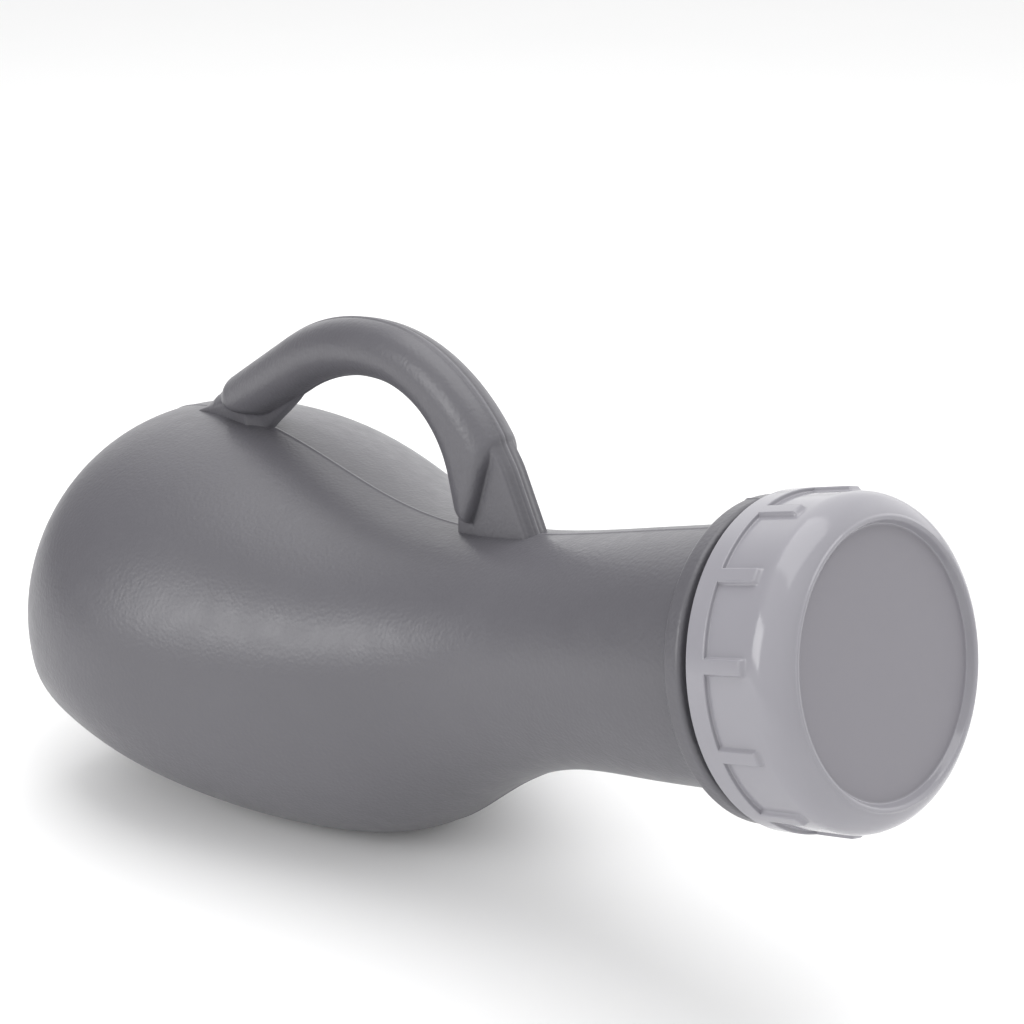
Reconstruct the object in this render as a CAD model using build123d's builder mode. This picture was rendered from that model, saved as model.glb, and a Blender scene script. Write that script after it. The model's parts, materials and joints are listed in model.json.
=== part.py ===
from build123d import *
import math
import os

# A wide-mouthed urine bottle that lies on its belly: a blow-moulded bottle with a hollow
# handle over its shoulder, a screw cap, and the sealing ring inside the cap.
# Millimetres, +Z up, +X towards the cap. The belly's flat rests on z = 0, and the bottle is
# symmetric about y = 0 apart from its thread. The neck's axis rises towards the cap.

# Where the neck's axis leaves the bottle: the middle of the cap's front disc
cap_face_x = 203.0
cap_face_z = 114.5
neck_tilt = 17.3

# Where the body's neck meets the neck finish
finish_back = 36.0
neck_end_radius = 34.0

# Bottle body: one row for each station along the neck's axis, as
# (distance behind the cap's disc, top, bottom, half width, height of the widest point)
body_stations = [
    (299.0, 24.0, 0.0, 18.0, 10.0),
    (297.0, 50.0, -15.0, 46.0, 10.0),
    (291.0, 69.0, -23.0, 63.0, 12.0),
    (281.0, 78.0, -28.5, 71.5, 13.0),
    (267.0, 80.5, -35.5, 76.0, 12.5),
    (249.0, 78.0, -44.5, 77.0, 10.0),
    (228.0, 72.0, -53.0, 73.0, 8.0),
    (203.0, 61.0, -58.5, 64.5, 5.5),
    (174.0, 46.5, -57.0, 53.0, 2.0),
    (140.0, 36.0, -42.5, 40.0, 0.0),
    (103.0, 33.0, -33.0, 33.0, 0.0),
    (70.0, 33.4, -33.4, 33.4, 0.0),
    (finish_back, neck_end_radius, -neck_end_radius, neck_end_radius, 0.0),
]
bulb_wall = 3.0
neck_wall = 1.6
bulb_wall_ends = 190.0
neck_wall_starts = 120.0
# the shell is drawn in one and kept as two parts, which meet at this distance
neck_root = 140.0

# Neck finish: collar bead, threaded ring and lip, as distances behind the cap's disc
finish_wall = 2.0
collar_radius = 41.0
collar_back = 33.4
collar_front = 28.2
collar_foot = 35.6
collar_round = 1.8
collar_wall = 2.2
finish_radius = 36.4
lip = 4.7
lip_round = 0.8

# Thread: right-handed, one start
thread_pitch = 6.0
thread_depth = 1.5
thread_root = 3.0
thread_crest = 1.4
bottle_thread_turns = 1.5
bottle_thread_start = 21.0
cap_thread_turns = 1.25
cap_thread_start = 18.6

# Screw cap, as distances behind its own front disc
flange_radius = 42.2
flange_back = 25.0
flange_front = 19.3
skirt_radius = 41.0
skirt_bore = 39.0
shoulder_radius = 8.6
rim_height = 2.3
disc_radius = 33.0
disc_thickness = 2.0
inner_corner = 2.6
rib_count = 12
rib_width = 4.0
rib_front = 7.6
rib_ramp = 1.4
rib_phase = 14.0
plug_outer = 30.4
plug_wall = 1.5
plug_depth = 3.4

# Sealing ring, between the cap's disc and the bottle's lip
gasket_outer = 36.9
gasket_inner = 30.8
seal_gap = 0.15

# Handle: a round hollow tube whose two ends stand on thin webs; over the front web
# it divides into a lobe that drops nearly straight and a solid leg that slants forwards
grip_radius = 9.0
grip_bore = 7.2
grip_start = (-59.6, 111.5)
grip_slope = 33.0
grip_rise = 53.6
lobe_arcs = [(75.1, -33.0), (42.5, -26.0), (35.6, -49.3)]
leg_arcs = [(75.1, -33.0), (52.1, -54.1), (15.8, -8.3)]
grip_drop = 18.0
leg_root = 30.0
foot_round = 0.6
hollow_floor = 128.0
rear_web_thickness = 10.5
front_web_thickness = 9.0
# outlines in the plane of symmetry, (x, z)
rear_foot = [(-75.0, 121.3), (-10.0, 121.3), (-10.0, 95.0), (-75.0, 95.0)]
front_foot = [(76.2, 140.4), (67.7, 115.3), (66.5, 112.3), (50.0, 112.3), (50.0, 95.0), (100.0, 95.0),
              (100.0, 140.4)]
rear_web = [(-75.0, 95.0), (-73.0, 108.2), (-60.2, 121.5), (-50.0, 125.0), (-25.0, 130.5), (-15.5, 130.5),
            (-22.2, 123.1), (-26.5, 119.4), (-31.3, 114.9), (-33.0, 95.0)]
front_web = [(59.4, 95.0), (59.7, 114.0), (61.5, 126.0), (64.0, 134.0), (70.0, 137.4), (90.0, 137.4),
             (105.0, 95.0)]
# the front web's outer edge is a straight ridge, crowned across the web
ridge_point = (80.45, 127.5)
ridge_slope = -62.4
crown = 1.05

os.makedirs("parts", exist_ok=True)

tilt = math.radians(neck_tilt)
neck_direction = Vector(math.cos(tilt), 0, math.sin(tilt))
cap_face = Vector(cap_face_x, 0, cap_face_z)
neck_axis = Axis(cap_face, neck_direction)
# local x runs along the neck towards the cap, local y is the radius
neck_side = Plane(origin=cap_face, x_dir=neck_direction, z_dir=(0, -1, 0))


def station_plane(distance):
    """Plane across the neck's axis, at a distance behind the cap's disc; local x is sideways."""
    return Plane(origin=cap_face - neck_direction * distance, x_dir=(0, 1, 0), z_dir=neck_direction)


def body_section(distance, top, bottom, half_width, middle):
    """Egg section: two half ellipses that meet at the widest point."""
    with BuildSketch(station_plane(distance)) as section:
        with BuildLine():
            EllipticalCenterArc((0, middle), half_width, top - middle, start_angle=0, arc_size=180)
            EllipticalCenterArc((0, middle), half_width, middle - bottom, start_angle=180, arc_size=180)
        make_face()
    return section.sketch.face()


def wall_at(distance):
    """The wall thins from the bulb to the neck."""
    share = (distance - neck_wall_starts) / (bulb_wall_ends - neck_wall_starts)
    return neck_wall + (bulb_wall - neck_wall) * min(max(share, 0.0), 1.0)


def bore_station(index):
    """The station moved inwards by the wall, square to the body's outline there."""
    distance, top, bottom, half_width, middle = body_stations[index]
    wall = wall_at(distance)
    if index == 0:
        return distance - wall, top, bottom, half_width, middle
    behind = body_stations[index - 1]
    ahead = body_stations[min(index + 1, len(body_stations) - 1)]
    slope = math.atan2(ahead[3] - behind[3], behind[0] - ahead[0])
    inset = wall * math.cos(slope)
    return distance - wall * math.sin(slope), top - inset, bottom + inset, half_width - inset, middle


# ---- bottle body: one shell, kept as a bulb and a neck ---------------------------------
with BuildPart() as body_solid:
    loft([body_section(*row) for row in body_stations])
    split(bisect_by=Plane.XY, keep=Keep.TOP)

with BuildPart() as body_bore:
    loft([body_section(*bore_station(index)) for index in range(len(body_stations))])
    split(bisect_by=Plane.XY.offset(bulb_wall), keep=Keep.TOP)

with BuildPart() as bulb:
    add(body_solid.part)
    add(body_bore.part, mode=Mode.SUBTRACT)
    split(bisect_by=station_plane(neck_root), keep=Keep.BOTTOM)
bulb.part.label = "bulb"
export_step(bulb.part, "parts/bulb.step")

with BuildPart() as neck:
    add(body_solid.part)
    add(body_bore.part, mode=Mode.SUBTRACT)
    split(bisect_by=station_plane(neck_root), keep=Keep.TOP)
neck.part.label = "neck"
export_step(neck.part, "parts/neck.step")


def helical_ridge(radius, start, turns, outward):
    """Thread ridge of one start on a wall of the given radius, its root just inside the wall."""
    side = 1 if outward else -1
    sink = 0.3
    path = Helix(thread_pitch, thread_pitch * turns, radius, center=(0, 0, -start))
    with BuildPart() as ridge:
        with BuildSketch(Plane(origin=path @ 0, x_dir=(1, 0, 0), z_dir=path % 0)):
            with BuildLine():
                Polyline((-sink * side, -thread_root / 2), (-sink * side, thread_root / 2),
                         (thread_depth * side, thread_crest / 2), (thread_depth * side, -thread_crest / 2),
                         close=True)
            make_face()
        sweep(path=path, is_frenet=True)
    return station_plane(0).location * ridge.part


# ---- neck finish: collar, threaded ring and lip ---------------------------------------
with BuildPart() as neck_finish:
    with BuildSketch(neck_side):
        with BuildLine():
            Polyline((-finish_back, neck_end_radius), (-collar_foot, neck_end_radius),
                     (-collar_back, collar_radius), (-collar_front, collar_radius),
                     (-collar_front + 0.8, finish_radius),
                     (-lip, finish_radius), (-lip, finish_radius - finish_wall),
                     (-collar_front - 0.4, finish_radius - finish_wall),
                     (-collar_front - 1.8, collar_radius - collar_wall),
                     (-collar_back + 1.4, collar_radius - collar_wall),
                     (-finish_back, neck_end_radius - neck_wall), close=True)
        make_face()
    revolve(axis=neck_axis)
    collar_edges = neck_finish.edges().filter_by(GeomType.CIRCLE).filter_by(
        lambda edge: abs(edge.radius - collar_radius) < 0.01)
    fillet(collar_edges, collar_round)
    lip_edges = neck_finish.edges().filter_by(GeomType.CIRCLE).group_by(neck_axis)[-1]
    fillet(lip_edges, lip_round)
    add(helical_ridge(finish_radius, bottle_thread_start, bottle_thread_turns, True))
neck_finish.part.label = "neck_finish"
export_step(neck_finish.part, "parts/neck_finish.step")

# ---- screw cap ------------------------------------------------------------------------
with BuildPart() as screw_cap:
    with BuildSketch(neck_side):
        with BuildLine():
            outline = Polyline((-disc_thickness, 0), (0, 0), (0, disc_radius),
                               (rim_height - 0.6, disc_radius + 0.5), (rim_height, disc_radius + 1.4))
            shoulder = CenterArc((rim_height - shoulder_radius, skirt_radius - shoulder_radius),
                                 shoulder_radius, start_angle=13, arc_size=77)
            Line(outline @ 1, shoulder @ 0)
            Polyline(shoulder @ 1, (-flange_front, skirt_radius), (-flange_front, flange_radius),
                     (-flange_back, flange_radius), (-flange_back, skirt_bore),
                     (-disc_thickness - inner_corner, skirt_bore),
                     (-disc_thickness, skirt_bore - inner_corner / 1.4), (-disc_thickness, 0))
        make_face()
    revolve(axis=neck_axis)
    with BuildSketch(station_plane(disc_thickness)):
        Circle(plug_outer)
        Circle(plug_outer - plug_wall, mode=Mode.SUBTRACT)
    extrude(amount=-plug_depth)
    for index in range(rib_count):
        angle = math.radians(rib_phase + 360 / rib_count * index)
        outwards = station_plane(0).x_dir * math.cos(angle) + station_plane(0).y_dir * math.sin(angle)
        rib_plane = Plane(origin=cap_face, x_dir=neck_direction, z_dir=neck_direction.cross(outwards))
        with BuildSketch(rib_plane):
            with BuildLine():
                Polyline((-flange_front - 0.5, skirt_radius - 0.5), (-flange_front - 0.5, flange_radius),
                         (-rib_front - rib_ramp, flange_radius), (-rib_front, skirt_radius + 0.1),
                         (-rib_front, skirt_radius - 0.5), close=True)
            make_face()
        extrude(amount=rib_width / 2, both=True)
    add(helical_ridge(skirt_bore, cap_thread_start, cap_thread_turns, False))
screw_cap.part.label = "screw_cap"
export_step(screw_cap.part, "parts/screw_cap.step")

# ---- sealing ring ---------------------------------------------------------------------
with BuildPart() as cap_gasket:
    with BuildSketch(station_plane(disc_thickness + seal_gap)):
        Circle(gasket_outer)
        Circle(gasket_inner, mode=Mode.SUBTRACT)
    extrude(amount=-(lip - disc_thickness - 2 * seal_gap))
    chamfer(cap_gasket.edges().filter_by(GeomType.CIRCLE), 0.3)
cap_gasket.part.label = "cap_gasket"
export_step(cap_gasket.part, "parts/cap_gasket.step")


# ---- handle: hollow tube on two webs, trimmed to the body -----------------------------
def grip_tube(radius, arcs):
    """Round tube along the handle's path: a straight rise, the arcs and a straight drop."""
    with BuildPart() as tube:
        with BuildLine(Plane.XZ) as path:
            last = PolarLine(grip_start, grip_rise, grip_slope)
            for arc_radius, turn in arcs:
                last = JernArc(last @ 1, last % 1, arc_radius, turn)
            Line(last @ 1, last @ 1 + (last % 1) * grip_drop)
        route = path.wires()[0]
        with BuildSketch(Plane(origin=route @ 0, x_dir=(0, 1, 0), z_dir=route % 0)):
            Circle(radius)
        sweep(path=route)
    return tube.part


def plate(outline, thickness):
    """Flat plate of the given outline, centred on the plane of symmetry."""
    with BuildPart() as slab:
        with BuildSketch(Plane.XZ):
            with BuildLine():
                Polyline(*outline, close=True)
            make_face()
        extrude(amount=thickness / 2, both=True)
    return slab.part


with BuildPart() as grip:
    add(grip_tube(grip_radius, lobe_arcs))
    add(plate(rear_foot, 40), mode=Mode.SUBTRACT)
    add(plate(front_foot, 40), mode=Mode.SUBTRACT)
    foot_edges = grip.edges().filter_by(GeomType.ELLIPSE)
    fillet(foot_edges, foot_round)

with BuildPart() as leg:
    add(grip_tube(grip_radius, leg_arcs))
    add(plate(front_foot, 40), mode=Mode.SUBTRACT)
    split(bisect_by=Plane.YZ.offset(leg_root), keep=Keep.TOP)

with BuildPart() as grip_air:
    add(grip_tube(grip_bore, lobe_arcs))
    split(bisect_by=Plane.XY.offset(hollow_floor), keep=Keep.TOP)

with BuildPart() as front_plate:
    add(plate(front_web, front_web_thickness))
    slope = math.radians(ridge_slope)
    downhill = Vector(math.cos(slope), 0, math.sin(slope))
    ridge_origin = Vector(ridge_point[0], 0, ridge_point[1])
    with BuildSketch(Plane(origin=ridge_origin, x_dir=(0, 1, 0), z_dir=downhill)):
        with BuildLine():
            half = front_web_thickness / 2
            face = ThreePointArc((-half, -crown), (0, 0), (half, -crown))
            Polyline(face @ 1, (half, -60), (-half, -60), face @ 0)
        make_face()
    extrude(amount=60, both=True, mode=Mode.INTERSECT)

with BuildPart() as handle:
    add(grip.part)
    add(leg.part)
    add(plate(rear_web, rear_web_thickness))
    add(front_plate.part)
    add(grip_air.part, mode=Mode.SUBTRACT)
    add(body_solid.part, mode=Mode.SUBTRACT)
handle.part.label = "handle"
export_step(handle.part, "parts/handle.step")
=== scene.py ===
import bpy
import json
import math
import numpy as np
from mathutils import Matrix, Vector


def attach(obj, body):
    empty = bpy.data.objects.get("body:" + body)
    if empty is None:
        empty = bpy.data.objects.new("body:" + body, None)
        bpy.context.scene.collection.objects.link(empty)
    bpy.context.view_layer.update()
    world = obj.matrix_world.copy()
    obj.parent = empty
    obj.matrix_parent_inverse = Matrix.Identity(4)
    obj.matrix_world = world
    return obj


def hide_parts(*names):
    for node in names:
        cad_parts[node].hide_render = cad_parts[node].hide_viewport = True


# A grey urine bottle that lies on its belly, with a hollow grip handle and a ribbed screw cap.
# Shapes are worked out in millimetres in the CAD's frame and turned into metres as meshes are
# made. The neck's axis and the cap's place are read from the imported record.

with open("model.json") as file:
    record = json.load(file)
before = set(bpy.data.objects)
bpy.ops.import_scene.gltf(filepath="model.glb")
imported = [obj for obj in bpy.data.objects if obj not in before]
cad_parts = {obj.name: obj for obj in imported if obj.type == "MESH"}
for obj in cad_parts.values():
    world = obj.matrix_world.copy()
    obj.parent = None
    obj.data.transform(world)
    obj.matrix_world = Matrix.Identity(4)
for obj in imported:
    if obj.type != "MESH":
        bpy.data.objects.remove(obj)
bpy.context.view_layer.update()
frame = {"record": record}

MM = 0.001

cap_turn = next(joint for joint in frame["record"]["behaviour"]["joints"] if joint["name"] == "cap_turn")
CAP_FACE = np.array(cap_turn["pos_m"]) / MM
AXIS = np.array(cap_turn["axis"]) / np.linalg.norm(cap_turn["axis"])
SIDE = np.array([0.0, 1.0, 0.0])
UP = np.cross(AXIS, SIDE)


def neck_point(distance, side, up):
    """Point at a distance behind the cap's disc, sideways and up from the neck's axis."""
    parts = np.broadcast_arrays(distance, side, up)
    return CAP_FACE - parts[0][..., None] * AXIS + parts[1][..., None] * SIDE + parts[2][..., None] * UP


# ---------------------------------------------------------------- shape helpers

def smooth_step(value, low, high):
    share = np.clip((value - low) / (high - low), 0.0, 1.0)
    return share * share * (3.0 - 2.0 * share)


def bell(value, place, half_width):
    return np.exp(-((value - place) / half_width) ** 2)


def natural_spline(knots, values, at):
    """Natural cubic spline through one or more columns of values."""
    knots, values = np.asarray(knots, float), np.asarray(values, float)
    count = len(knots)
    gap = np.diff(knots)
    matrix = np.eye(count)
    right = np.zeros_like(values)
    for k in range(1, count - 1):
        matrix[k, k - 1], matrix[k, k], matrix[k, k + 1] = gap[k - 1], 2 * (gap[k - 1] + gap[k]), gap[k]
        right[k] = 6 * ((values[k + 1] - values[k]) / gap[k] - (values[k] - values[k - 1]) / gap[k - 1])
    bend = np.linalg.solve(matrix, right)
    cell = np.clip(np.searchsorted(knots, at) - 1, 0, count - 2)
    width = gap[cell][:, None]
    after = (at - knots[cell])[:, None] / width
    before = 1.0 - after
    curve = (before ** 3 - before) * bend[cell] + (after ** 3 - after) * bend[cell + 1]
    return before * values[cell] + after * values[cell + 1] + curve * width ** 2 / 6


def rounded_path(corners, spacing):
    """Points along straight runs joined by arcs. Each corner is (x, y, radius)."""
    points = [np.array(corners[0][:2], float)]
    for before, here, after in zip(corners, corners[1:], corners[2:]):
        corner = np.array(here[:2], float)
        back = np.array(before[:2], float) - corner
        ahead = np.array(after[:2], float) - corner
        back /= np.linalg.norm(back)
        ahead /= np.linalg.norm(ahead)
        angle = math.acos(float(np.clip(back @ ahead, -1, 1)))
        turn = math.pi - angle
        if here[2] <= 0 or turn < 1e-3:
            points.append(corner)
            continue
        middle = back + ahead
        middle *= here[2] / math.sin(angle / 2) / np.linalg.norm(middle)
        start = corner + back * here[2] / math.tan(angle / 2) - (corner + middle)
        end = corner + ahead * here[2] / math.tan(angle / 2) - (corner + middle)
        steps = max(3, int(math.ceil(turn * here[2] / spacing)), int(math.degrees(turn) / 12))
        for k in range(steps + 1):
            share = k / steps
            spread = math.sin(turn)
            mixed = (math.sin((1 - share) * turn) * start + math.sin(share * turn) * end) / spread
            points.append(corner + middle + mixed)
    points.append(np.array(corners[-1][:2], float))
    filled = [points[0]]
    for here, after in zip(points, points[1:]):
        run = np.linalg.norm(after - here)
        pieces = max(1, int(round(run / spacing)))
        filled += [here + (after - here) * (k + 1) / pieces for k in range(pieces) if run > 1e-9]
    return np.array(filled)


def add_mesh(name, points, faces):
    """A new smooth-shaded object from points in millimetres."""
    mesh = bpy.data.meshes.new(name)
    mesh.from_pydata((np.asarray(points) * MM).tolist(), [], faces)
    mesh.validate()
    mesh.update()
    mesh.polygons.foreach_set("use_smooth", [True] * len(mesh.polygons))
    piece = bpy.data.objects.new(name, mesh)
    bpy.context.scene.collection.objects.link(piece)
    return piece


def add_attribute(piece, name, values):
    layer = piece.data.attributes.new(name, "FLOAT", "POINT")
    layer.data.foreach_set("value", np.asarray(values, dtype=np.float32).ravel())


def ring_faces(rings, around, closed_loop=False):
    """Quads between rings of points; the last ring joins the first if the loop is closed."""
    faces = []
    for ring in range(rings if closed_loop else rings - 1):
        low, high = ring * around, ((ring + 1) % rings) * around
        faces += [(low + k, low + (k + 1) % around, high + (k + 1) % around, high + k) for k in range(around)]
    return faces


# ---------------------------------------------------------------- bottle: bulb, neck and mouth

FINISH_BACK = 36.0
NECK_END = 34.0
# (distance behind the cap's disc, top, bottom, half width, height of the widest point)
STATIONS = [
    (299.0, 24.0, 0.0, 18.0, 10.0),
    (297.0, 50.0, -15.0, 46.0, 10.0),
    (291.0, 69.0, -23.0, 63.0, 12.0),
    (281.0, 78.0, -28.5, 71.5, 13.0),
    (267.0, 80.5, -35.5, 75.9, 12.5),
    (249.0, 78.0, -44.5, 76.88, 10.0),
    (228.0, 72.0, -53.0, 73.0, 8.0),
    (203.0, 61.0, -58.5, 64.5, 5.5),
    (174.0, 46.5, -57.0, 53.0, 2.0),
    (140.0, 36.0, -42.5, 40.0, 0.0),
    (103.0, 33.0, -33.0, 33.0, 0.0),
    (70.0, 33.4, -33.4, 33.4, 0.0),
    (FINISH_BACK, NECK_END, -NECK_END, NECK_END, 0.0),
]
BULB_WALL = 3.0
NECK_WALL = 1.6
WALL_CHANGE = (120.0, 190.0)
BELLY_ROUND = 1.2

LIP = 4.7
MOUTH_RADIUS = 34.4
FINISH_RADIUS = 36.4
# outside and inside of the neck finish, as (distance, radius, rounding)
FINISH_OUTSIDE = [
    (FINISH_BACK, NECK_END, 0), (35.5, 34.0, 0.5), (33.4, 41.0, 1.7), (28.2, 41.0, 1.3), (27.4, 36.4, 0.4),
    (LIP, FINISH_RADIUS, 0.8), (LIP, MOUTH_RADIUS, 0.8), (28.6, MOUTH_RADIUS, 1.0), (30.0, 38.8, 1.0),
    (32.0, 38.8, 1.0), (FINISH_BACK, NECK_END - NECK_WALL, 0),
]
PITCH = 6.0
THREAD_DEPTH = 1.5
THREAD_ROOT = 3.0
THREAD_CREST = 1.4
BOTTLE_THREAD = (21.0, 1.5)
CAP_THREAD = (18.6, 1.25)
THREAD_FADE = 12.0

# parting line: a low ridge that fades out on the flat of the belly
SEAM_HEIGHT = 0.28
SEAM_HALF_WIDTH = 0.4
SEAM_FADE = (1.0, 3.0)
# along the handle a shallow groove runs on both sides of it: place, half width, depth
SEAM_GROOVE = (0.95, 0.35, 0.14)
# the flat back end is closed by rings that shrink to these shares of the first station
END_RINGS = [0.04, 0.12, 0.24, 0.36, 0.48, 0.60, 0.72, 0.84, 0.93]
BODY_RINGS = 190
FINISH_SPACING = 0.35
SIDE_STEPS = 64


def wall_at(distance):
    return NECK_WALL + (BULB_WALL - NECK_WALL) * np.clip(
        (distance - WALL_CHANGE[0]) / (WALL_CHANGE[1] - WALL_CHANGE[0]), 0.0, 1.0)


def station_spline(count):
    """Body stations at even steps along the outline."""
    rows = np.array(STATIONS)
    size = (rows[:, 1] - rows[:, 2]) / 4 + rows[:, 3] / 2
    steps = np.hypot(np.diff(rows[:, 0]), np.diff(size))
    knots = np.concatenate([[0.0], np.cumsum(steps)])
    return natural_spline(knots, rows, np.linspace(0.0, knots[-1], count))


def thread_height(distance, angle, thread):
    """Height of a one-start thread ridge over its wall at an angle round the neck."""
    start, turns = thread
    turn = angle / (2 * np.pi)
    height = np.zeros(np.broadcast(distance, angle).shape)
    for lap in range(-1, int(math.ceil(turns)) + 1):
        along = turn + lap
        middle = start - PITCH * along
        offset = np.abs(distance - middle)
        flank = np.clip((THREAD_ROOT / 2 - offset) / ((THREAD_ROOT - THREAD_CREST) / 2), 0.0, 1.0)
        fade = THREAD_FADE / 360.0
        ends = smooth_step(along, 0.0, fade) * (1.0 - smooth_step(along, turns - fade, turns))
        height = np.maximum(height, THREAD_DEPTH * smooth_step(flank, 0.0, 1.0) * ends)
    return height


def seam_angles():
    """Angles round the neck, close together where the parting line runs over top and bottom."""
    offsets = [0.0, 0.12, 0.25, 0.4, 0.6, 0.85, 1.2, 1.8, 2.6]
    angles = [90 + sign * offset for offset in offsets for sign in (1, -1) if offset or sign > 0]
    angles += [180 + angle for angle in angles]
    plain = np.linspace(offsets[-1], 180 - offsets[-1], SIDE_STEPS)[1:-1]
    angles += list(90 + plain) + list(270 + plain)
    return np.radians(np.sort(np.mod(angles, 360.0)))


def rest_on_floor(points):
    """Flattens the belly on the floor, with a soft edge round the flat."""
    height = points[..., 2]
    lifted = BELLY_ROUND * np.logaddexp(0.0, height / BELLY_ROUND)
    near = height < 6 * BELLY_ROUND
    points[..., 2] = np.where(near, lifted, height)
    return points


def grid_normals(points):
    """Outward normals of a grid of rings, (ring, around, 3)."""
    along = np.gradient(points, axis=0)
    wrapped = np.concatenate([points[:, -1:], points, points[:, :1]], axis=1)
    around = (wrapped[:, 2:] - wrapped[:, :-2]) / 2
    normal = np.cross(around, along)
    return normal / np.maximum(np.linalg.norm(normal, axis=-1, keepdims=True), 1e-9)


def make_bottle():
    angles = seam_angles()
    rows = station_spline(BODY_RINGS)
    shrink = np.array(END_RINGS)[:, None]
    end = np.array([1.0, 0.0, 0.0, 0.0, 1.0]) * rows[:1]
    end[:, 1:3] = end[:, 4:5]
    rows = np.vstack([end + shrink * (rows[:1] - end), rows])
    cosine, sine = np.cos(angles)[None], np.sin(angles)[None]
    rise = np.where(sine > 0, rows[:, 1:2] - rows[:, 4:5], rows[:, 4:5] - rows[:, 2:3])
    body = neck_point(rows[:, :1], rows[:, 3:4] * cosine, rows[:, 4:5] + rise * sine)
    outside = rest_on_floor(body.copy())
    normals = grid_normals(outside)
    if (normals[len(rows) // 2, 0] @ SIDE) < 0:
        normals = -normals
    inside = outside - normals * wall_at(rows[:, 0])[:, None, None]
    seam = bell(outside[..., 1], 0.0, SEAM_HALF_WIDTH)
    seam = seam * smooth_step(outside[..., 2], *SEAM_FADE)
    outside = outside + normals * (seam * SEAM_HEIGHT)[..., None]

    outline = rounded_path(FINISH_OUTSIDE, FINISH_SPACING)[1:-1]
    distance, radius = outline[:, :1], outline[:, 1:]
    on_ring = (np.abs(radius - FINISH_RADIUS) < 0.05) & (distance > LIP + 0.9)
    radius = radius + np.where(on_ring, thread_height(distance, angles[None], BOTTLE_THREAD), 0.0)
    finish_seam = bell(radius * cosine, 0.0, SEAM_HALF_WIDTH) * (radius > NECK_END) * (distance > 27.6)
    radius = radius + finish_seam * SEAM_HEIGHT
    finish = neck_point(distance, radius * cosine, radius * sine)

    rings = np.concatenate([outside, finish, inside[::-1]])
    around = len(angles)
    faces = ring_faces(len(rings), around)
    last = (len(rings) - 1) * around
    faces.append(tuple(range(around - 1, -1, -1)))
    faces.append(tuple(range(last, last + around)))
    bottle = add_mesh("bottle", rings.reshape(-1, 3), faces)
    add_attribute(bottle, "seam", np.concatenate([seam, finish_seam, np.zeros_like(seam)]))
    return bottle


# ---------------------------------------------------------------- handle

GRIP_RADIUS = 8.7
GRIP_START = (-43.6, 121.9)
GRIP_SLOPE = 33.0
GRIP_RISE = 34.5
GRIP_ARC = (75.1, -33.0)
# the tube divides over the front foot: a lobe drops nearly straight, the outer leg slants forwards
LOBE_RUNS = [(42.5, -26.0), (35.6, -49.3), 22.0]
LEG_RUNS = [(52.1, -54.1), (15.8, -8.3), 34.0]
ROUTE_STEP = 2.0
# outlines in the plane of symmetry, (x, z): what is cut from the tube, and the webs under it
REAR_FOOT = [(-75.0, 118.9), (0.0, 118.9), (0.0, 95.0), (-75.0, 95.0)]
FRONT_FOOT = [(79.5, 141.5), (74.6, 134.8), (72.0, 128.6), (69.4, 120.0), (67.6, 115.0), (66.2, 111.8),
              (50.0, 111.8), (50.0, 95.0), (102.0, 95.0), (102.0, 141.5)]
REAR_WEB = [(-67.0, 95.0), (-67.0, 111.4), (-66.3, 113.0), (-58.1, 120.4), (-54.0, 122.3), (-25.0, 132.0),
            (-12.6, 132.6), (-16.9, 127.9), (-22.3, 123.0), (-26.6, 119.3), (-31.4, 114.8), (-33.0, 95.0)]
FRONT_WEB = [(59.3, 95.0), (59.6, 112.5), (61.5, 122.0), (64.0, 134.0), (70.0, 137.4), (90.0, 137.4),
             (105.0, 95.0)]
REAR_WEB_HALF = 5.25
FRONT_WEB_HALF = 4.5
# the front web's outer face is crowned and sinks into the tube between two heights
RIDGE_POINT = (80.4, 127.4)
RIDGE_SLOPE = -62.4
CROWN = 1.05
RIDGE_SINK = (129.0, 137.4, 1.0)
# a low bead and a groove beside it on that face, as (place, half width, height), and where they fade
RIDGE_BEAD = (2.7, 0.7, 0.22)
RIDGE_GROOVE = (4.2, 0.5, -0.30)
RIDGE_FADE = (130.0, 138.0)
# the rear web thins out to a fin: how far its edge draws back, over which heights and lengths
REAR_CROWN = 3.4
REAR_CROWN_HEIGHTS = (113.5, 118.0)
FIN_CROWN = 12.0
FIN_LENGTHS = (-42.0, -34.0)
FIN_HEIGHTS = (111.5, 114.5)
REAR_ROUND = 3.0
FRONT_ROUND = 4.0
WEB_ROUND = 0.7
# the handle's mesh comes from a grid: its ends along x and z, and its steps
GRID_X = (-76.0, 95.0)
GRID_Z = (98.0, 163.0)
GRID_STEP = 0.4
SEAM_STEP = 0.12
SEAM_BAND = 1.5
WIDEST = 10.0
BODY_SINK = 1.2
BODY_DISTANCE_STEPS = 400


def plane_route(start, slope, runs, step):
    """Points (x, z) along straight runs and arcs; a run is a length, an arc is (radius, turn)."""
    heading = math.radians(slope)
    here = np.array(start)
    points = [here]
    for run in runs:
        length, turn = (run, 0.0) if isinstance(run, float) else (run[0] * math.radians(abs(run[1])), run[1])
        count = int(math.ceil(length / step))
        part = math.radians(turn) / count
        for _ in range(count):
            heading += part / 2
            here = here + np.array([math.cos(heading), math.sin(heading)]) * length / count
            heading += part / 2
            points.append(here)
    return np.array(points)


def distance_to_route(x, z, route):
    """Distance from each point of a plane grid to a polyline."""
    best = np.full(x.shape, 1e9)
    for start, end in zip(route, route[1:]):
        line = end - start
        share = np.clip(((x - start[0]) * line[0] + (z - start[1]) * line[1]) / (line @ line), 0.0, 1.0)
        best = np.minimum(best, np.hypot(x - start[0] - share * line[0], z - start[1] - share * line[1]))
    return best


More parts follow.
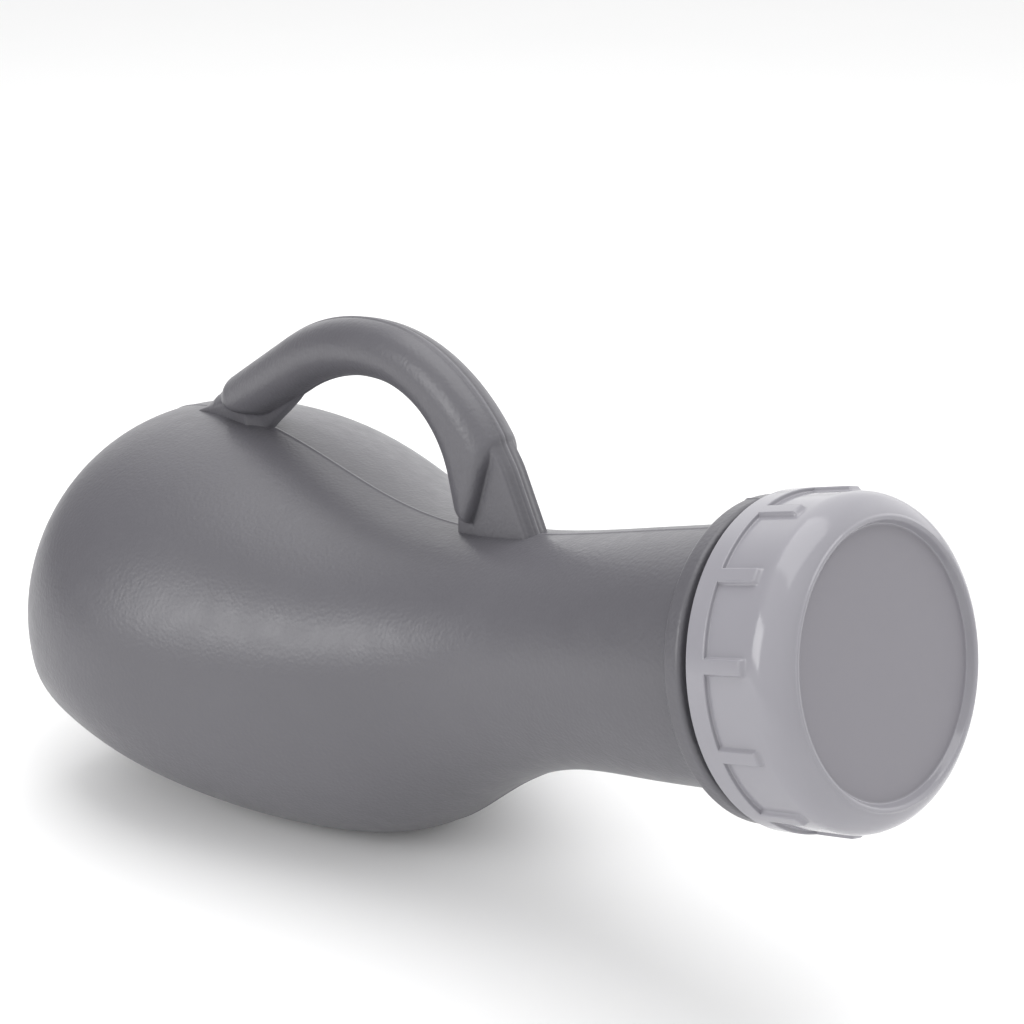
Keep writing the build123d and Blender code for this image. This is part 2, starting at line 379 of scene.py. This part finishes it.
def inside_outline(x, z, outline):
    """Signed distance to a closed outline in the plane, negative inside."""
    outline = np.array(outline, float)
    closed = np.vstack([outline, outline[:1]])
    distance = distance_to_route(x, z, closed)
    crossings = np.zeros(x.shape, int)
    for start, end in zip(closed, closed[1:]):
        spans = (start[1] > z) != (end[1] > z)
        height = end[1] - start[1] if end[1] != start[1] else 1e-9
        crossings += spans & (x < start[0] + (z - start[1]) / height * (end[0] - start[0]))
    return np.where(crossings % 2 == 1, -distance, distance)


def smooth_max(a, b, radius):
    """The larger of two distances, with the corner between them rounded."""
    blend = np.maximum(radius - np.abs(a - b), 0.0)
    return np.maximum(a, b) + blend * blend / (4 * radius)


def body_distance(x, y, z):
    """Roughly the distance outside the bottle's body."""
    rows = station_spline(BODY_DISTANCE_STEPS)[::-1]
    away = (x - CAP_FACE[0]) * -AXIS[0] + (z - CAP_FACE[2]) * -AXIS[2]
    up = (x - CAP_FACE[0]) * UP[0] + (z - CAP_FACE[2]) * UP[2]
    top, half, middle = (np.interp(away, rows[:, 0], rows[:, k]) for k in (1, 3, 4))
    return (np.hypot(y / half, (up - middle) / (top - middle)) - 1.0) * (top - middle)


def surface_net(field, xs, ys, zs):
    """Quad mesh of a field's zero surface: a point in each cell that it crosses."""
    inside = field < 0
    shape = tuple(size - 1 for size in field.shape)
    total = np.zeros(shape + (3,), np.float32)
    count = np.zeros(shape, np.float32)

    def corner(values, offset):
        return values[tuple(slice(o, o + s) for o, s in zip(offset, shape))]

    for axis in range(3):
        first, second = [k for k in range(3) if k != axis]
        for i in (0, 1):
            for j in (0, 1):
                start = [0, 0, 0]
                start[first], start[second] = i, j
                end = list(start)
                end[axis] = 1
                low, high = corner(field, start), corner(field, end)
                crosses = corner(inside, start) != corner(inside, end)
                gap = np.where(crosses, low - high, 1.0)
                total[..., axis] += np.where(crosses, low / gap, 0.0)
                total[..., first] += crosses * i
                total[..., second] += crosses * j
                count += crosses
    cells = np.argwhere(count > 0)
    index = np.full(shape, -1, np.int64)
    index[tuple(cells.T)] = np.arange(len(cells))
    local = total[tuple(cells.T)] / count[tuple(cells.T)][:, None] + cells
    points = np.stack([np.interp(local[:, k], np.arange(len(line)), line)
                       for k, line in enumerate((xs, ys, zs))], axis=1)
    faces = []
    for axis in range(3):
        first, second = [(1, 2), (2, 0), (0, 1)][axis]
        step = np.zeros(3, int)
        step[axis] = 1
        low = inside[tuple(slice(0, -1) if k == axis else slice(1, -1) for k in range(3))]
        high = inside[tuple(slice(1, None) if k == axis else slice(1, -1) for k in range(3))]
        edges = np.argwhere(low != high)
        leaving = low[tuple(edges.T)]
        edges[:, first] += 1
        edges[:, second] += 1
        loop = []
        for back_first, back_second in ((1, 1), (0, 1), (0, 0), (1, 0)):
            cell = edges.copy()
            cell[:, first] -= back_first
            cell[:, second] -= back_second
            loop.append(index[tuple(cell.T)])
        quads = np.stack(loop, axis=1)
        quads[~leaving] = quads[~leaving][:, ::-1]
        faces += quads.tolist()
    return points, faces


def tube_distance(x, z, y):
    """The tube with its lobe and leg, cut off at both feet."""
    lobe = plane_route(GRIP_START, GRIP_SLOPE, [GRIP_RISE, GRIP_ARC, *LOBE_RUNS], ROUTE_STEP)
    leg = plane_route(GRIP_START, GRIP_SLOPE, [GRIP_RISE, GRIP_ARC, *LEG_RUNS], ROUTE_STEP)
    middle = np.minimum(distance_to_route(x, z, lobe), distance_to_route(x, z, leg))
    between = inside_outline(x, z, np.vstack([lobe, leg[:0:-1]]))
    middle = np.where(between < 0.0, 0.0, middle)
    tube = np.hypot(middle[:, None, :], y) - GRIP_RADIUS
    rear = inside_outline(x, z, REAR_FOOT)[:, None, :]
    front = inside_outline(x, z, FRONT_FOOT)[:, None, :]
    return smooth_max(smooth_max(tube, -rear, REAR_ROUND), -front, FRONT_ROUND)


def front_web_distance(x, z, across):
    slope = math.radians(RIDGE_SLOPE)
    outwards = (x - RIDGE_POINT[0]) * -math.sin(slope) + (z - RIDGE_POINT[1]) * math.cos(slope)
    detail = sum(height * bell(across, place, width) for place, width, height in (RIDGE_BEAD, RIDGE_GROOVE))
    detail = detail * (1.0 - smooth_step(z, *RIDGE_FADE))[:, None, :]
    sunk = RIDGE_SINK[2] * smooth_step(z, *RIDGE_SINK[:2])[:, None, :]
    ridge = outwards[:, None, :] + CROWN * (across / FRONT_WEB_HALF) ** 2 + detail + sunk
    web = np.maximum(inside_outline(x, z, FRONT_WEB)[:, None, :], ridge)
    return smooth_max(web, across - FRONT_WEB_HALF, WEB_ROUND)


def rear_web_distance(x, z, across):
    crown = REAR_CROWN * smooth_step(z, *REAR_CROWN_HEIGHTS)
    crown = crown + FIN_CROWN * smooth_step(x, *FIN_LENGTHS) * smooth_step(z, *FIN_HEIGHTS)
    web = inside_outline(x, z, REAR_WEB)[:, None, :] + crown[:, None, :] * (across / REAR_WEB_HALF) ** 2
    return smooth_max(web, across - REAR_WEB_HALF, WEB_ROUND)


def make_handle():
    xs = np.arange(*GRID_X, GRID_STEP)
    zs = np.arange(*GRID_Z, GRID_STEP)
    near = np.arange(SEAM_STEP / 2, SEAM_BAND, SEAM_STEP)
    far = np.arange(SEAM_BAND + 0.1, WIDEST, GRID_STEP)
    ys = np.concatenate([-far[::-1], -near[::-1], near, far])
    plane_x, plane_z = np.meshgrid(xs, zs, indexing="ij")
    y = ys[None, :, None]
    across = np.abs(y)
    front_web = front_web_distance(plane_x, plane_z, across)
    rear_web = rear_web_distance(plane_x, plane_z, across)
    shape = np.minimum(tube_distance(plane_x, plane_z, y), np.minimum(front_web, rear_web))
    shape = shape - bell(y, 0.0, SEAM_HALF_WIDTH) * SEAM_HEIGHT
    shape = shape + bell(across, *SEAM_GROOVE[:2]) * SEAM_GROOVE[2]
    grid_x, grid_y, grid_z = np.meshgrid(xs, ys, zs, indexing="ij")
    shape = np.maximum(shape, -BODY_SINK - body_distance(grid_x, grid_y, grid_z))
    points, faces = surface_net(shape.astype(np.float32), xs, ys, zs)
    handle = add_mesh("grip_handle", points, faces)
    add_attribute(handle, "seam", bell(points[:, 1], 0.0, SEAM_HALF_WIDTH))
    relax = handle.modifiers.new("relax", "SMOOTH")
    relax.factor = 0.5
    relax.iterations = 1
    return handle


# ---------------------------------------------------------------- screw cap and its ring

FLANGE_RADIUS = 42.15
FLANGE_BACK = 25.0
FLANGE_FRONT = 19.3
SKIRT_RADIUS = 41.0
SKIRT_BORE = 39.0
SHOULDER_RADIUS = 8.6
RIM_HEIGHT = 2.12
DISC_RADIUS = 33.0
DISC_THICKNESS = 2.0
# the ring that presses into the mouth: outer radius, inner radius, depth
PLUG = (30.4, 28.9, 3.4)
RIB_COUNT = 12
RIB_WIDTH = 4.0
RIB_FRONT = 7.6
RIB_RAMP = 1.3
RIB_PHASE = 14.0
CAP_STEPS = 1080
CAP_SPACING = 0.3
# the shoulder's arc is drawn from this angle to a right angle, in this many steps
SHOULDER_FROM = 16
SHOULDER_STEPS = 30
# how far the ribs' flanks slope inside and outside their nominal width
RIB_FLANK = (0.35, 0.2)
# closed outline of the sealing ring, as (distance, radius, rounding)
GASKET_OUTLINE = [(2.15, 33.0, 0), (2.15, 36.9, 0.4), (4.55, 36.9, 0.4), (4.55, 30.8, 0.4), (2.15, 30.8, 0.4),
                  (2.15, 33.0, 0)]
GASKET_SPACING = 0.4
GASKET_STEPS = 240


def cap_outline():
    """Half section of the cap, from the middle of its front to the middle of its inside."""
    shoulder = SKIRT_RADIUS - SHOULDER_RADIUS
    front = [(0.0, 0.0, 0), (0.0, DISC_RADIUS, 0.35), (-RIM_HEIGHT, DISC_RADIUS + 0.9, 0.9),
             (-RIM_HEIGHT, shoulder + 2.5, 0)]
    arc = []
    for k in range(1, SHOULDER_STEPS + 1):
        turn = math.radians(SHOULDER_FROM + (90 - SHOULDER_FROM) * k / SHOULDER_STEPS)
        arc.append((SHOULDER_RADIUS - RIM_HEIGHT - SHOULDER_RADIUS * math.cos(turn),
                    shoulder + SHOULDER_RADIUS * math.sin(turn), 0))
    back = [(FLANGE_FRONT, SKIRT_RADIUS, 0.35), (FLANGE_FRONT, FLANGE_RADIUS, 0.35),
            (FLANGE_BACK, FLANGE_RADIUS, 0.4), (FLANGE_BACK, SKIRT_BORE, 0.4),
            (DISC_THICKNESS + 2.6, SKIRT_BORE, 0.8), (DISC_THICKNESS, SKIRT_BORE - 1.86, 0.8),
            (DISC_THICKNESS, PLUG[0], 0.2), (DISC_THICKNESS + PLUG[2], PLUG[0], 0.4),
            (DISC_THICKNESS + PLUG[2], PLUG[1], 0.4), (DISC_THICKNESS, PLUG[1], 0.3),
            (DISC_THICKNESS, 0.0, 0)]
    return rounded_path(front + arc + back, CAP_SPACING)


def make_cap():
    outline = cap_outline()
    outline = outline[outline[:, 1] > 0.01]
    angles = np.linspace(0.0, 2 * np.pi, CAP_STEPS, endpoint=False)
    distance, radius = outline[:, :1], outline[:, 1:]
    widest = int(np.argmax(outline[:, 1]))
    outer = np.arange(len(outline))[:, None] <= widest
    pitch = 2 * np.pi / RIB_COUNT
    offset = np.mod(angles - math.radians(RIB_PHASE) + pitch / 2, pitch) - pitch / 2
    across = np.abs(offset) * SKIRT_RADIUS
    rib = (1.0 - smooth_step(across, RIB_WIDTH / 2 - RIB_FLANK[0], RIB_WIDTH / 2 + RIB_FLANK[1]))[None]
    ramp = smooth_step(distance, RIB_FRONT, RIB_FRONT + RIB_RAMP)
    target = SKIRT_RADIUS + (FLANGE_RADIUS - SKIRT_RADIUS) * rib * ramp
    on_skirt = outer & (distance > RIB_FRONT - 0.1) & (distance < FLANGE_FRONT + 0.5)
    radius = np.where(on_skirt, np.maximum(radius, target), radius)
    in_bore = (~outer) & (distance < FLANGE_BACK - 1.0) & (distance > DISC_THICKNESS + 3.6)
    in_bore = in_bore & (radius > PLUG[0] + 2)
    radius = np.where(in_bore, radius - thread_height(distance, angles[None], CAP_THREAD), radius)
    points = neck_point(distance, radius * np.cos(angles), radius * np.sin(angles))
    around = len(angles)
    rings = len(outline)
    faces = ring_faces(rings, around)
    faces.append(tuple(range(around - 1, -1, -1)))
    faces.append(tuple(range((rings - 1) * around, rings * around)))
    cap = add_mesh("cap", points.reshape(-1, 3), faces)
    disc = (1.0 - smooth_step(outline[:, 1], DISC_RADIUS - 0.6, DISC_RADIUS + 0.1)) * (outline[:, 0] < 0.3)
    add_attribute(cap, "disc", np.repeat(disc, around))
    return cap


def make_gasket():
    outline = rounded_path(GASKET_OUTLINE, GASKET_SPACING)[:-1]
    angles = np.linspace(0.0, 2 * np.pi, GASKET_STEPS, endpoint=False)
    distance, radius = outline[:, :1], outline[:, 1:]
    points = neck_point(distance, radius * np.cos(angles), radius * np.sin(angles))
    return add_mesh("sealing_ring", points.reshape(-1, 3), ring_faces(len(outline), len(angles), True))


# ---------------------------------------------------------------- materials

# pairs of colours that a soft cloud mixes
BOTTLE_COLOURS = [(0.101, 0.0985, 0.110), (0.112, 0.1095, 0.122)]
# lighter colour painted on the parting line: a painted highlight along its ridge
SEAM_HIGHLIGHT_COLOUR = (0.24, 0.236, 0.255)
CAP_COLOURS = [(0.272, 0.266, 0.292), (0.296, 0.290, 0.317)]
DISC_COLOUR = (0.206, 0.198, 0.221)
RUBBER_COLOURS = [(0.60, 0.60, 0.58), (0.70, 0.70, 0.68)]
FLOOR_COLOURS = [(0.90, 0.90, 0.90), (0.92, 0.92, 0.92)]
# how far the grain of the bottle and of the cap's disc stands out, in metres
LEATHER_DEPTH = 0.00014
WAVE_DEPTH = 0.0006
DISC_GRAIN_DEPTH = 0.00006
RUBBER_GRAIN_DEPTH = 0.00005


class Nodes:
    """Small wrapper that keeps a material's node tree readable."""

    def __init__(self, name):
        self.material = bpy.data.materials.new(name)
        self.material.use_nodes = True
        self.tree = self.material.node_tree
        self.shader = self.tree.nodes["Principled BSDF"]
        self.place = self.tree.nodes.new("ShaderNodeTexCoord").outputs["Object"]

    def node(self, kind, **settings):
        made = self.tree.nodes.new(kind)
        for key, value in settings.items():
            setattr(made, key, value)
        return made

    def link(self, source, target):
        self.tree.links.new(source, target)

    def noise(self, scale, detail=3.0, roughness=0.5, distortion=0.0):
        made = self.node("ShaderNodeTexNoise")
        made.inputs["Scale"].default_value = scale
        made.inputs["Detail"].default_value = detail
        made.inputs["Roughness"].default_value = roughness
        made.inputs["Distortion"].default_value = distortion
        self.link(self.place, made.inputs["Vector"])
        return made.outputs["Fac"]

    def spread(self, source, low, high, from_low=0.0, from_high=1.0):
        made = self.node("ShaderNodeMapRange")
        for key, value in zip(("From Min", "From Max", "To Min", "To Max"), (from_low, from_high, low, high)):
            made.inputs[key].default_value = value
        self.link(source, made.inputs["Value"])
        return made.outputs["Result"]

    def math(self, operation, first, second):
        made = self.node("ShaderNodeMath", operation=operation)
        for socket, value in zip(made.inputs, (first, second)):
            if isinstance(value, (int, float)):
                socket.default_value = value
            else:
                self.link(value, socket)
        return made.outputs[0]

    def attribute(self, name):
        return self.node("ShaderNodeAttribute", attribute_name=name).outputs["Fac"]

    def mix(self, share, first, second):
        made = self.node("ShaderNodeMix", data_type="RGBA")
        if isinstance(share, (int, float)):
            made.inputs["Factor"].default_value = share
        else:
            self.link(share, made.inputs["Factor"])
        for socket, value in zip((made.inputs[6], made.inputs[7]), (first, second)):
            if isinstance(value, tuple):
                socket.default_value = (*value, 1.0)
            else:
                self.link(value, socket)
        return made.outputs[2]

    def bump(self, height, strength, distance, normal=None):
        made = self.node("ShaderNodeBump")
        made.inputs["Strength"].default_value = strength
        made.inputs["Distance"].default_value = distance
        self.link(height, made.inputs["Height"])
        if normal is not None:
            self.link(normal, made.inputs["Normal"])
        return made.outputs["Normal"]


def bottle_material():
    """Satin blow-moulded plastic with a fine leathery grain and a painted highlight along the parting line.
    """
    n = Nodes("bottle_plastic")
    cloud = n.noise(9.0, 4.0)
    fine = n.noise(160.0, 4.0, 0.6)
    base = n.mix(n.spread(cloud, 0.0, 1.0, 0.35, 0.65), *BOTTLE_COLOURS)
    # painted highlight: the parting line's ridge is painted lighter
    painted_seam_highlight = n.math("MULTIPLY", n.attribute("seam"), 0.35)
    base = n.mix(painted_seam_highlight, base, SEAM_HIGHLIGHT_COLOUR)
    n.link(base, n.shader.inputs["Base Color"])
    n.link(n.spread(fine, 0.32, 0.40, 0.3, 0.7), n.shader.inputs["Roughness"])
    n.shader.inputs["Specular IOR Level"].default_value = 0.5
    grain = n.node("ShaderNodeTexVoronoi", feature="SMOOTH_F1")
    grain.inputs["Scale"].default_value = 900.0
    grain.inputs["Smoothness"].default_value = 0.6
    n.link(n.place, grain.inputs["Vector"])
    leather = n.math("ADD", grain.outputs["Distance"], n.noise(620.0, 3.0, 0.6, 0.6))
    coarse = n.bump(n.noise(60.0, 2.0), 0.12, WAVE_DEPTH)
    n.link(n.bump(leather, 0.45, LEATHER_DEPTH, coarse), n.shader.inputs["Normal"])
    return n.material


def cap_material():
    """Semi-gloss injection-moulded plastic whose front disc is finely textured."""
    n = Nodes("cap_plastic")
    disc = n.attribute("disc")
    cloud = n.noise(14.0, 4.0)
    base = n.mix(n.spread(cloud, 0.0, 1.0, 0.35, 0.65), *CAP_COLOURS)
    base = n.mix(disc, base, DISC_COLOUR)
    n.link(base, n.shader.inputs["Base Color"])
    streaks = n.noise(220.0, 3.0, 0.6)
    rough = n.math("ADD", n.spread(streaks, 0.11, 0.17, 0.3, 0.7), n.math("MULTIPLY", disc, 0.28))
    n.link(rough, n.shader.inputs["Roughness"])
    n.shader.inputs["Specular IOR Level"].default_value = 0.5
    spark = n.noise(2600.0, 2.0)
    texture = n.math("MULTIPLY", spark, n.spread(disc, 0.15, 1.0))
    n.link(n.bump(texture, 0.10, DISC_GRAIN_DEPTH), n.shader.inputs["Normal"])
    return n.material


def rubber_material():
    n = Nodes("gasket_rubber")
    dust = n.noise(400.0, 4.0, 0.6)
    n.link(n.mix(n.spread(dust, 0.0, 1.0, 0.3, 0.7), *RUBBER_COLOURS), n.shader.inputs["Base Color"])
    n.link(n.spread(dust, 0.55, 0.7, 0.3, 0.7), n.shader.inputs["Roughness"])
    n.link(n.bump(n.noise(1500.0), 0.1, RUBBER_GRAIN_DEPTH), n.shader.inputs["Normal"])
    return n.material


# ---------------------------------------------------------------- stage, light and camera

FLOOR_REACH = 6.0


def make_stage():
    mesh = bpy.data.meshes.new("floor")
    corners = [(x * FLOOR_REACH, y * FLOOR_REACH, 0) for x, y in ((-1, -1), (1, -1), (1, 1), (-1, 1))]
    mesh.from_pydata(corners, [], [(0, 1, 2, 3)])
    floor = bpy.data.objects.new("floor", mesh)
    bpy.context.scene.collection.objects.link(floor)
    n = Nodes("floor_paper")
    n.link(n.mix(n.noise(3.0), *FLOOR_COLOURS), n.shader.inputs["Base Color"])
    n.shader.inputs["Roughness"].default_value = 0.9
    mesh.materials.append(n.material)


def area_light(name, place, target, size, power):
    light = bpy.data.lights.new(name, "AREA")
    light.shape = "RECTANGLE"
    light.size, light.size_y = size
    light.energy = power
    lamp = bpy.data.objects.new(name, light)
    lamp.location = place
    lamp.rotation_mode = "QUATERNION"
    lamp.rotation_quaternion = (Vector(target) - Vector(place)).to_track_quat("-Z", "Y")
    bpy.context.scene.collection.objects.link(lamp)


SKY_STRENGTH = 0.92
# (name, place, aim, size, watts)
SOFTBOXES = [("top", (0.05, 0.1, 1.3), (0.05, 0, 0.1), (1.4, 1.0), 9.0),
             ("key", (-0.25, -0.93, 0.50), (0.02, -0.05, 0.08), (0.5, 0.5), 3.5)]
# (azimuth, elevation, dot product at the edge and where it is full, change in strength)
SKY_PATCHES = [(115.0, 10.0, 0.2, 0.9, 0.45), (70.0, 5.0, 0.75, 0.98, 0.5), (-158.0, 15.0, 0.70, 0.95, -0.75)]


def world_direction(azimuth, elevation):
    azimuth, elevation = math.radians(azimuth), math.radians(elevation)
    return (math.cos(azimuth) * math.cos(elevation), math.sin(azimuth) * math.cos(elevation),
            math.sin(elevation))


def make_lights():
    """White studio: a bright backdrop behind the bottle, a darker side wall and two softboxes."""
    world = bpy.data.worlds.new("studio")
    world.use_nodes = True
    tree = world.node_tree
    place = tree.nodes.new("ShaderNodeTexCoord").outputs["Generated"]
    background = tree.nodes["Background"]
    background.inputs["Color"].default_value = (1.0, 1.0, 1.0, 1.0)
    strength = None
    for azimuth, elevation, edge, full, change in SKY_PATCHES:
        dot = tree.nodes.new("ShaderNodeVectorMath")
        dot.operation = "DOT_PRODUCT"
        dot.inputs[1].default_value = world_direction(azimuth, elevation)
        tree.links.new(place, dot.inputs[0])
        patch = tree.nodes.new("ShaderNodeMapRange")
        patch.interpolation_type = "SMOOTHSTEP"
        for key, value in zip(("From Min", "From Max", "To Min", "To Max"), (edge, full, 0.0, change)):
            patch.inputs[key].default_value = value
        tree.links.new(dot.outputs["Value"], patch.inputs["Value"])
        total = tree.nodes.new("ShaderNodeMath")
        total.operation = "ADD"
        total.inputs[0].default_value = SKY_STRENGTH
        if strength is not None:
            tree.links.new(strength, total.inputs[0])
        tree.links.new(patch.outputs["Result"], total.inputs[1])
        strength = total.outputs[0]
    tree.links.new(strength, background.inputs["Strength"])
    bpy.context.scene.world = world
    for softbox in SOFTBOXES:
        area_light(*softbox)


CAMERA_PLACE = (0.4253, -0.3411, 0.3114)
CAMERA_AIM = (-0.66332, 0.65018, -0.37049)
LENS = 65.93
SENSOR = 36.0


def make_camera():
    camera = bpy.data.cameras.new("camera")
    camera.lens = LENS
    camera.sensor_width = SENSOR
    view = bpy.data.objects.new("camera", camera)
    view.location = CAMERA_PLACE
    view.rotation_mode = "QUATERNION"
    view.rotation_quaternion = Vector(CAMERA_AIM).to_track_quat("-Z", "Y")
    bpy.context.scene.collection.objects.link(view)
    bpy.context.scene.camera = view


# ---------------------------------------------------------------- assembly

def finish_piece(piece, body, slot, material, *nodes):
    piece.data.materials.append(material)
    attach(piece, body)
    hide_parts(*nodes)


bottle_plastic = bottle_material()
finish_piece(make_bottle(), "bottle", "bottle_plastic", bottle_plastic, "bulb", "neck", "neck_finish")
finish_piece(make_handle(), "bottle", "bottle_plastic", bottle_plastic, "handle")
finish_piece(make_cap(), "cap", "cap_plastic", cap_material(), "screw_cap")
finish_piece(make_gasket(), "seal", "gasket_rubber", rubber_material(), "cap_gasket")
make_stage()
make_lights()
make_camera()
bpy.context.scene.view_settings.view_transform = "Standard"
